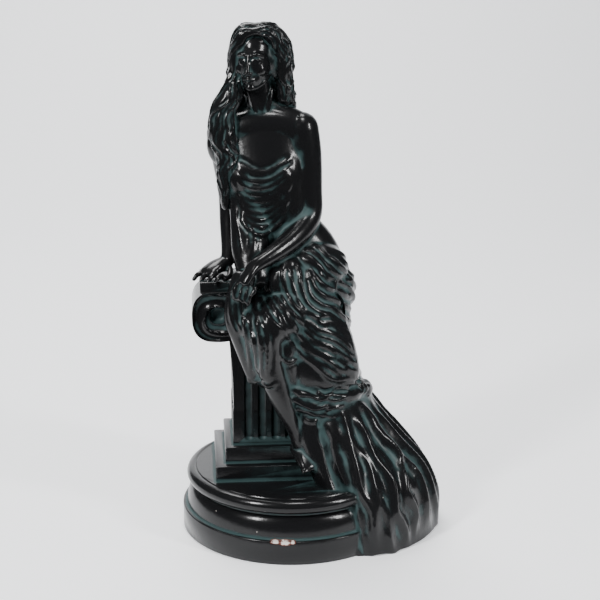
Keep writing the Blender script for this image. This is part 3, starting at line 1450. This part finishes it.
@dataclass(frozen=True)
class LacquerFinish:
    """Black lacquer over white plaster, with blue-green patina in the hollows.

    Args:
        black: Colour of the lacquer.
        patina: Colour of the patina.
        patina_light: Colour of the patina where it is thickest.
        plaster: Colour of the bare plaster in a chip.
        rust: Colour round a chip.
        gloss: Roughness of the lacquer.
        shine: Strength of its reflections.
        dull: Roughness of the patina.
    """

    black: tuple[float, ...] = (0.0065, 0.0066, 0.0072, 1)
    patina: tuple[float, ...] = (0.012, 0.024, 0.025, 1)
    patina_light: tuple[float, ...] = (0.032, 0.061, 0.062, 1)
    plaster: tuple[float, ...] = (0.66, 0.62, 0.57, 1)
    rust: tuple[float, ...] = (0.13, 0.030, 0.014, 1)
    gloss: float = 0.20
    shine: float = 0.30
    dull: float = 0.50

    def wash_group(self) -> bpy.types.NodeTree:
        """Makes the group that finds a concave corner running round the piece.

        Returns:
            The group.
        """
        group = bpy.data.node_groups.new("corner_wash", "ShaderNodeTree")
        for name in ("Out", "Up", "Line Out", "Line Up", "Reach"):
            group.interface.new_socket(name, in_out="INPUT", socket_type="NodeSocketFloat")
        group.interface.new_socket("Mask", in_out="OUTPUT", socket_type="NodeSocketFloat")
        start, end = group.nodes.new("NodeGroupInput"), group.nodes.new("NodeGroupOutput")
        wire = Wire(group)
        out = wire.math("SUBTRACT", start.outputs["Out"], start.outputs["Line Out"])
        up = wire.math("SUBTRACT", start.outputs["Up"], start.outputs["Line Up"])
        square = wire.math("ADD", wire.math("MULTIPLY", out, out), wire.math("MULTIPLY", up, up))
        share = wire.math("DIVIDE", wire.math("SQRT", square), start.outputs["Reach"])
        group.links.new(wire.ramp(share, 0.0, 1.0, 1.0, 0.0), end.inputs["Mask"])
        return group

    def chip_group(self) -> bpy.types.NodeTree:
        """Makes the group that draws one ragged chip on the front.

        Returns:
            The group.
        """
        group = bpy.data.node_groups.new("chip", "ShaderNodeTree")
        group.interface.new_socket("Place", in_out="INPUT", socket_type="NodeSocketVector")
        for name in ("Centre X", "Centre Z", "Half Width", "Half Height"):
            group.interface.new_socket(name, in_out="INPUT", socket_type="NodeSocketFloat")
        for name in ("Bare", "Rim"):
            group.interface.new_socket(name, in_out="OUTPUT", socket_type="NodeSocketFloat")
        start, end = group.nodes.new("NodeGroupInput"), group.nodes.new("NodeGroupOutput")
        wire = Wire(group)
        x, y, z = wire.split(start.outputs["Place"])
        across = wire.math(
            "DIVIDE", wire.math("SUBTRACT", x, start.outputs["Centre X"]), start.outputs["Half Width"],
        )
        up = wire.math(
            "DIVIDE", wire.math("SUBTRACT", z, start.outputs["Centre Z"]), start.outputs["Half Height"],
        )
        square = wire.math("ADD", wire.math("MULTIPLY", across, across), wire.math("MULTIPLY", up, up))
        ragged = wire.math("MULTIPLY", wire.noise(start.outputs["Place"], 900, 3), 1.3)
        away = wire.math("ADD", wire.math("SQRT", square), ragged)
        front = wire.math("LESS_THAN", y, -0.1)
        bare = wire.math("MULTIPLY", wire.ramp(away, 1.30, 1.45, 1.0, 0.0), front)
        wide = wire.math("MULTIPLY", wire.ramp(away, 1.6, 1.9, 1.0, 0.0), front)
        group.links.new(bare, end.inputs["Bare"])
        group.links.new(wide, end.inputs["Rim"])
        return group

    def washes(self, wire: "Wire", place: bpy.types.NodeSocket) -> bpy.types.NodeSocket:
        """Finds the concave corners of the steps, the shaft and the base, and the flutes.

        Args:
            wire: Maker of nodes.
            place: Object coordinates.

        Returns:
            The mask.
        """
        turn = wire.tree.nodes.new("ShaderNodeVectorRotate")
        turn.rotation_type = "Z_AXIS"
        turn.inputs["Center"].default_value = (PEDESTAL_X, PEDESTAL_Y, 0)
        turn.inputs["Angle"].default_value = -PEDESTAL_TURN
        wire.tree.links.new(place, turn.inputs["Vector"])
        x, y, z = wire.split(turn.outputs["Vector"])
        half_x = wire.math("ABSOLUTE", wire.math("SUBTRACT", x, PEDESTAL_X))
        half_y = wire.math("ABSOLUTE", wire.math("SUBTRACT", y, PEDESTAL_Y))
        square = wire.math("MAXIMUM", half_x, half_y)
        px, py, _ = wire.split(place)
        ring = wire.math(
            "SQRT", wire.math("ADD", wire.math("MULTIPLY", px, px), wire.math("MULTIPLY", py, py)),
        )
        group = self.wash_group()
        foot = BASE_RADIUS - OVOLO_SETBACK
        corners = (
            (square, LOWER_STEP_WIDTH / 2, BASE_HEIGHT, 0.0060),
            (square, LOWER_STEP_WIDTH / 2 - STEP_LEDGE, BASE_HEIGHT + LOWER_STEP_HEIGHT, 0.0045),
            (square, SHAFT_WIDTH / 2, SHAFT_FOOT_Z, 0.0045),
            (ring, foot, DRUM_HEIGHT, 0.0050),
            (ring, foot - OVOLO_DEPTH, BASE_HEIGHT - RIM_HEIGHT, 0.0050),
        )
        total = None
        for out, line_out, line_up, reach in corners:
            node = wire.use(group, Out=out, Up=z, Line_Out=line_out, Line_Up=line_up, Reach=reach)
            mask = node.outputs["Mask"]
            total = mask if total is None else wire.math("MAXIMUM", total, mask)
        depth = wire.ramp(square, SHAFT_WIDTH / 2 - 0.0040, SHAFT_WIDTH / 2 - 0.0006, 0.5, 0.0)
        low = wire.math("GREATER_THAN", z, SHAFT_FOOT_Z + 0.004)
        high = wire.math("LESS_THAN", z, SHAFT_FOOT_Z + SHAFT_HEIGHT - 0.004)
        flutes = wire.math("MULTIPLY", depth, wire.math("MULTIPLY", low, high))
        flutes = wire.math("MULTIPLY", flutes, wire.math("GREATER_THAN", square, SHAFT_WIDTH / 2 - 0.0065))
        return wire.math("MAXIMUM", total, flutes)

    def chips(
        self, wire: "Wire", place: bpy.types.NodeSocket,
    ) -> tuple[bpy.types.NodeSocket, bpy.types.NodeSocket]:
        """Draws the chips on the drum's front edge.

        Args:
            wire: Maker of nodes.
            place: Object coordinates.

        Returns:
            Masks of the bare plaster and of the rusty rim with it.
        """
        group = self.chip_group()
        bare = rim = None
        for x, z, half_width, half_height in CHIPS:
            node = wire.use(
                group, Place=place, Centre_X=x, Centre_Z=z, Half_Width=half_width, Half_Height=half_height,
            )
            one, other = node.outputs["Bare"], node.outputs["Rim"]
            bare = one if bare is None else wire.math("MAXIMUM", bare, one)
            rim = other if rim is None else wire.math("MAXIMUM", rim, other)
        return bare, rim

    def specks(self, wire: "Wire", place: bpy.types.NodeSocket) -> bpy.types.NodeSocket:
        """Scatters a few pale specks of dust.

        Args:
            wire: Maker of nodes.
            place: Object coordinates.

        Returns:
            The mask.
        """
        cells = wire.tree.nodes.new("ShaderNodeTexVoronoi")
        cells.inputs["Scale"].default_value = 110
        wire.tree.links.new(place, cells.inputs["Vector"])
        near = wire.math("LESS_THAN", cells.outputs["Distance"], 0.055)
        red, _, _ = wire.split(cells.outputs["Color"])
        return wire.math("MULTIPLY", near, wire.math("GREATER_THAN", red, 0.97))

    def build(self) -> bpy.types.Material:
        """Makes the material.

        Returns:
            The material.
        """
        material = bpy.data.materials.new("lacquered_plaster")
        material.use_nodes = True
        wire = Wire(material.node_tree)
        shader = material.node_tree.nodes["Principled BSDF"]
        recess = material.node_tree.nodes.new("ShaderNodeAttribute")
        recess.attribute_name = "recess"
        place = material.node_tree.nodes.new("ShaderNodeTexCoord").outputs["Object"]
        cloudy = wire.math("MULTIPLY", wire.noise(place, 60, 6), 0.55)
        settled = wire.math(
            "MAXIMUM", recess.outputs["Fac"], wire.math("MULTIPLY", self.washes(wire, place), 0.9),
        )
        patina = wire.ramp(wire.math("ADD", settled, cloudy), 0.34, 1.05, 0.0, 1.0)
        colour = wire.blend(wire.blend(self.patina, self.patina_light, patina), self.black, patina, swap=True)
        bare, rim = self.chips(wire, place)
        colour = wire.blend(colour, self.rust, wire.math("MULTIPLY", rim, 0.85))
        colour = wire.blend(colour, self.plaster, wire.math("MAXIMUM", bare, self.specks(wire, place)))
        dull = wire.math("MAXIMUM", wire.math("MULTIPLY", patina, 0.9), rim)
        shader.inputs["Specular IOR Level"].default_value = self.shine
        wire.tree.links.new(colour, shader.inputs["Base Color"])
        wire.tree.links.new(wire.ramp(dull, 0.0, 1.0, self.gloss, self.dull), shader.inputs["Roughness"])
        bump = wire.tree.nodes.new("ShaderNodeBump")
        bump.inputs["Strength"].default_value = 0.25
        bump.inputs["Distance"].default_value = 0.0004
        wire.tree.links.new(wire.noise(place, 240, 3), bump.inputs["Height"])
        wire.tree.links.new(bump.outputs["Normal"], shader.inputs["Normal"])
        return material


class Statue:
    """The whole casting."""

    def hollows(self, thing: bpy.types.Object) -> None:
        """Measures how deep each vertex lies among its neighbours and stores it as the attribute recess.

        Args:
            thing: The finished casting.
        """
        mesh = thing.data
        spots = read_rows(mesh.vertices, "co", 3)
        normals = read_rows(mesh.vertices, "normal", 3)
        edges = read_rows(mesh.edges, "vertices", 2, int).T
        a, b = edges
        degree = count_around(edges, len(spots))
        result = np.zeros(len(spots))
        blurred = spots.copy()
        done = 0
        for rounds, scale in HOLLOW_SIZES:
            for _ in range(rounds - done):
                mean = np.stack([sum_around(blurred[:, k], edges) for k in range(3)], axis=1)
                blurred = 0.5 * blurred + 0.5 * mean / degree[:, None]
            done = rounds
            depth = ((blurred - spots) * normals).sum(axis=1) / scale
            result = np.maximum(result, np.clip(depth, 0, 1))
        reach = np.linalg.norm(spots[a] - spots[b], axis=1)
        longest = np.zeros(len(spots))
        np.maximum.at(longest, a, reach)
        np.maximum.at(longest, b, reach)
        result *= np.clip((LONGEST_EDGE - longest) / (LONGEST_EDGE / 2), 0, 1)
        for _ in range(3):
            result = 0.5 * result + 0.5 * sum_around(result, edges) / degree
        layer = mesh.attributes.new("recess", "FLOAT", "POINT")
        layer.data.foreach_set("value", result)

    def thin(self, thing: bpy.types.Object) -> None:
        """Thins the mesh to its limit.

        Args:
            thing: The casting.
        """
        select_only(thing)
        thing.data.calc_loop_triangles()
        triangles = len(thing.data.loop_triangles)
        log.info("before thinning: %d triangles", triangles)
        if triangles > TRIANGLE_LIMIT:
            step = thing.modifiers.new("thin", "DECIMATE")
            step.ratio = TRIANGLE_LIMIT / triangles
            bpy.ops.object.modifier_apply(modifier=step.name)

    def build(self) -> bpy.types.Object:
        """Models, joins and dresses the casting.

        Returns:
            The finished object.
        """
        lift = Matrix.Translation((0, 0, BASE_HEIGHT)) @ Matrix.Scale(FIGURE_UNIT, 4)
        statue = Base().build()
        log.info("base: %d faces", len(statue.data.polygons))
        pedestal = Pedestal().build()
        log.info("pedestal: %d faces", len(pedestal.data.polygons))
        apply_boolean(statue, pedestal, "UNION")
        for piece in (Body().build(), Head().build()):
            log.info("%s: %d faces", piece.name, len(piece.data.polygons))
            piece.data.transform(lift)
            apply_boolean(statue, piece, "UNION", "MANIFOLD")
            log.info("after union: %d faces", len(statue.data.polygons))
        bpy.ops.mesh.primitive_cube_add(size=1, location=(0, 0, -0.05), scale=(0.6, 0.6, 0.1))
        ground = bpy.context.active_object
        select_only(ground)
        bpy.ops.object.transform_apply(location=True, rotation=False, scale=True)
        apply_boolean(statue, ground, "DIFFERENCE", "MANIFOLD")
        self.thin(statue)
        statue.name = "statue_casting"
        select_only(statue)
        bpy.ops.object.shade_smooth_by_angle(angle=math.radians(50))
        self.hollows(statue)
        statue.data.materials.clear()
        statue.data.materials.append(LacquerFinish().build())
        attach(statue, "root")
        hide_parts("statue")
        return statue


@dataclass
class Studio:
    """Camera, lights and backdrop.

    Args:
        camera_place: Place of the camera.
        camera_dip: How far it looks down, in degrees.
        lens: Focal length on a 36 mm sensor.
        paper_front: Front edge of the paper, along Y.
        paper_back: Where the paper starts to bend up.
        paper_bend: Radius of the bend.
        paper_width: Width of the paper.
    """

    camera_place: tuple[float, float, float] = (0.0086, -1.4604, 0.6536)
    camera_dip: float = 15.05
    lens: float = 81.83
    paper_front: float = -0.34
    paper_back: float = 1.5
    paper_bend: float = 0.8
    paper_width: float = 3.6

    def camera(self) -> None:
        """Places the camera."""
        bpy.ops.object.camera_add(
            location=self.camera_place, rotation=(math.radians(90 - self.camera_dip), 0, 0),
        )
        camera = bpy.context.active_object
        camera.data.lens = self.lens
        camera.data.sensor_width = 36
        camera.data.shift_x = 1 / 600
        bpy.context.scene.camera = camera

    def lamp(self, place: Key, aim: Key, power: float, size: tuple[float, float], name: str) -> None:
        """Places one soft lamp.

        Args:
            place: Where it hangs.
            aim: Where it points.
            power: Its power.
            size: Its two sides.
            name: Its name.
        """
        bpy.ops.object.light_add(type="AREA", location=place)
        lamp = bpy.context.active_object
        lamp.name = name
        lamp.data.shape = "RECTANGLE"
        lamp.data.size, lamp.data.size_y = size
        lamp.data.energy = power
        lamp.rotation_mode = "QUATERNION"
        lamp.rotation_quaternion = (Vector(aim) - Vector(place)).to_track_quat("-Z", "Y")

    def backdrop(self) -> None:
        """Lays a pale floor that sweeps up into a wall behind the statue."""
        profile = [(self.paper_front, 0.0), (self.paper_back, 0.0)]
        for i in range(1, 13):
            a = math.radians(90 * i / 12)
            rise = self.paper_bend * (1 - math.cos(a))
            profile.append((self.paper_back + self.paper_bend * math.sin(a), rise))
        profile.append((self.paper_back + self.paper_bend, self.paper_bend + 3))
        shape = bmesh.new()
        rows = [
            [shape.verts.new((side * self.paper_width / 2, y, z)) for side in (-1, 1)]
            for y, z in profile
        ]
        for (left, right), (left_next, right_next) in zip(rows, rows[1:]):
            shape.faces.new((left, right, right_next, left_next))
        floor = add_object("backdrop", shape)
        select_only(floor)
        bpy.ops.object.shade_smooth_by_angle(angle=math.radians(30))
        material = bpy.data.materials.new("pale_paper")
        material.use_nodes = True
        shader = material.node_tree.nodes["Principled BSDF"]
        shader.inputs["Base Color"].default_value = (0.90, 0.905, 0.92, 1)
        shader.inputs["Roughness"].default_value = 0.6
        shader.inputs["Emission Color"].default_value = (0.95, 0.97, 1.0, 1)
        shader.inputs["Emission Strength"].default_value = 0.42
        floor.data.materials.append(material)

    def build(self) -> None:
        """Sets up the whole studio."""
        world = bpy.data.worlds.new("studio")
        bpy.context.scene.world = world
        world.use_nodes = True
        world.node_tree.nodes["Background"].inputs["Color"].default_value = (0.9, 0.95, 1.0, 1)
        world.node_tree.nodes["Background"].inputs["Strength"].default_value = 0.10
        self.backdrop()
        self.camera()
        target = (0.0, 0.0, 0.30)
        self.lamp((-1.2, -1.3, 1.4), target, 42, (0.24, 0.60), "key")
        self.lamp((1.3, -0.9, 1.1), target, 22, (0.15, 0.65), "fill")
        self.lamp((0.1, -0.5, 2.0), target, 12, (0.35, 0.35), "top")
        self.lamp((-0.5, 0.9, 2.2), (-0.2, 1.2, 0.2), 60, (1.4, 1.0), "backdrop_lamp")


def main() -> None:
    """Builds the casting and the studio."""
    logging.basicConfig(level=logging.INFO, format="%(message)s")
    statue = Statue().build()
    log.info("statue: %d faces", len(statue.data.polygons))
    Studio().build()


if __name__ == "__main__":
    main()
